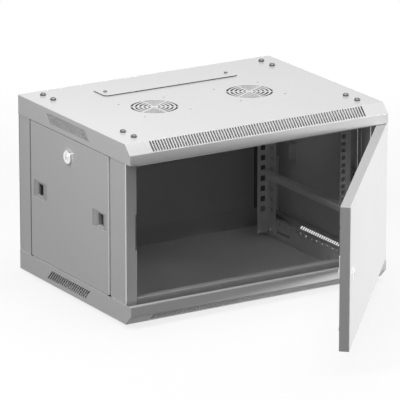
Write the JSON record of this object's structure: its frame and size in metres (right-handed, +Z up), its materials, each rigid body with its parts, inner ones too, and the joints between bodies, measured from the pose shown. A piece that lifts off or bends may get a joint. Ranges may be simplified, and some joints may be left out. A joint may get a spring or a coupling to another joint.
{
  "type": "wall mount network cabinet",
  "caption": "Wall-mounted network cabinet of sheet steel with a hinged front door, lift-off side panels and sliding 19-inch rails.",
  "frame": {"origin": "centre of the wall-bolt pattern, on the outer face of the back panel", "axes": "+X to the right of someone who faces the door, +Y into the wall, +Z up"},
  "size_m": [0.61, 0.8946, 0.378],
  "materials": {
    "cap_paint": "fine textured light grey powder coat",
    "door_paint": "fine textured light grey powder coat",
    "side_panel_paint": "fine textured light grey powder coat",
    "frame_paint": "fine textured light grey powder coat",
    "rail_paint": "satin grey powder coat",
    "black_fasteners": "black zinc plate, satin",
    "zinc_plated_steel": "bright zinc plate",
    "lock_chrome": "polished chrome plate",
    "latch_plastic": "grey moulded plastic",
    "latch_slider_plastic": "dark moulded plastic",
    "spring_steel": "bright spring strip",
    "black_rubber": "matt rubber",
    "black_nylon": "natural black nylon"
  },
  "bodies": {
    "cabinet": {"roof_cap": "cap_paint", "floor_cap": "cap_paint", "left_front_post": "frame_paint", "right_front_post": "frame_paint", "left_rear_post": "frame_paint", "right_rear_post": "frame_paint", "upper_front_member": "frame_paint", "lower_front_member": "frame_paint", "back_panel": "frame_paint", "left_upper_depth_bar": "rail_paint", "right_upper_depth_bar": "rail_paint", "left_lower_depth_bar": "rail_paint", "right_lower_depth_bar": "rail_paint", "cap_bolts": "black_fasteners", "cap_nuts": "black_fasteners", "cable_cover": "cap_paint", "cable_cover_screws": "black_fasteners", "hinge_bushes": "black_nylon", "earth_stud": "zinc_plated_steel"},
    "door": {"door_shell": "door_paint", "door_stiffener": "door_paint", "door_bumpers": "black_rubber", "door_hinge_pins": "zinc_plated_steel", "door_lock_body": "lock_chrome", "door_lock_nut": "zinc_plated_steel"},
    "door_lock_core": {"door_lock_plug": "lock_chrome", "door_lock_cam": "zinc_plated_steel", "door_lock_screw": "zinc_plated_steel"},
    "left_panel": {"left_side_panel": "side_panel_paint", "left_latch_housings": "latch_plastic", "left_side_lock_body": "lock_chrome", "left_side_lock_nut": "zinc_plated_steel", "left_front_latch_spring": "spring_steel", "left_rear_latch_spring": "spring_steel"},
    "left_panel_lock_core": {"left_side_lock_plug": "lock_chrome", "left_side_lock_cam": "zinc_plated_steel", "left_side_lock_screw": "zinc_plated_steel"},
    "left_front_latch": {"left_front_latch_slider": "latch_slider_plastic"},
    "left_rear_latch": {"left_rear_latch_slider": "latch_slider_plastic"},
    "left_rail_set": {"left_front_rail": "rail_paint", "left_rear_rail": "rail_paint", "left_equipment_runner": "rail_paint", "left_rail_fixings": "zinc_plated_steel"},
    "right_panel": {"right_side_panel": "side_panel_paint", "right_latch_housings": "latch_plastic", "right_side_lock_body": "lock_chrome", "right_side_lock_nut": "zinc_plated_steel", "right_front_latch_spring": "spring_steel", "right_rear_latch_spring": "spring_steel"},
    "right_panel_lock_core": {"right_side_lock_plug": "lock_chrome", "right_side_lock_cam": "zinc_plated_steel", "right_side_lock_screw": "zinc_plated_steel"},
    "right_front_latch": {"right_front_latch_slider": "latch_slider_plastic"},
    "right_rear_latch": {"right_rear_latch_slider": "latch_slider_plastic"},
    "right_rail_set": {"right_front_rail": "rail_paint", "right_rear_rail": "rail_paint", "right_equipment_runner": "rail_paint", "right_rail_fixings": "zinc_plated_steel"}
  },
  "joints": [
    {"name": "door_hinge", "type": "hinge", "parent": "cabinet", "child": "door", "pos_m": [0.293, -0.4395, 0], "axis": [0, 0, 1], "range_deg": [-49.5, 130.5]},
    {"name": "door_lock_turn", "type": "hinge", "parent": "door", "child": "door_lock_core", "pos_m": [-0.054, -0.86118, 0], "axis": [0.7604, -0.6494, 0], "range_deg": [0, 90]},
    {"name": "left_panel_lift_off", "type": "slide", "parent": "cabinet", "child": "left_panel", "axis": [-1, 0, 0], "range_m": [0, 0.15]},
    {"name": "left_panel_lock_turn", "type": "hinge", "parent": "left_panel", "child": "left_panel_lock_core", "pos_m": [-0.298, -0.2065, 0.103], "axis": [-1, 0, 0], "range_deg": [0, 90]},
    {"name": "left_front_latch_slide", "type": "slide", "parent": "left_panel", "child": "left_front_latch", "axis": [0, 1, 0], "range_m": [0, 0.0075], "stiffness_N_per_m": 600, "springref_m": -0.004, "deforming": ["left_front_latch_spring"]},
    {"name": "left_rear_latch_slide", "type": "slide", "parent": "left_panel", "child": "left_rear_latch", "axis": [0, -1, 0], "range_m": [0, 0.0075], "stiffness_N_per_m": 600, "springref_m": -0.004, "deforming": ["left_rear_latch_spring"]},
    {"name": "left_rail_set_slide", "type": "slide", "parent": "cabinet", "child": "left_rail_set", "axis": [0, 1, 0], "range_m": [-0.065, 0.02]},
    {"name": "right_panel_lift_off", "type": "slide", "parent": "cabinet", "child": "right_panel", "axis": [1, 0, 0], "range_m": [0, 0.15]},
    {"name": "right_panel_lock_turn", "type": "hinge", "parent": "right_panel", "child": "right_panel_lock_core", "pos_m": [0.298, -0.2065, 0.103], "axis": [1, 0, 0], "range_deg": [0, 90]},
    {"name": "right_front_latch_slide", "type": "slide", "parent": "right_panel", "child": "right_front_latch", "axis": [0, 1, 0], "range_m": [0, 0.0075], "stiffness_N_per_m": 600, "springref_m": -0.004, "deforming": ["right_front_latch_spring"]},
    {"name": "right_rear_latch_slide", "type": "slide", "parent": "right_panel", "child": "right_rear_latch", "axis": [0, -1, 0], "range_m": [0, 0.0075], "stiffness_N_per_m": 600, "springref_m": -0.004, "deforming": ["right_rear_latch_spring"]},
    {"name": "right_rail_set_slide", "type": "slide", "parent": "cabinet", "child": "right_rail_set", "axis": [0, 1, 0], "range_m": [-0.02, 0.02]}
  ]
}
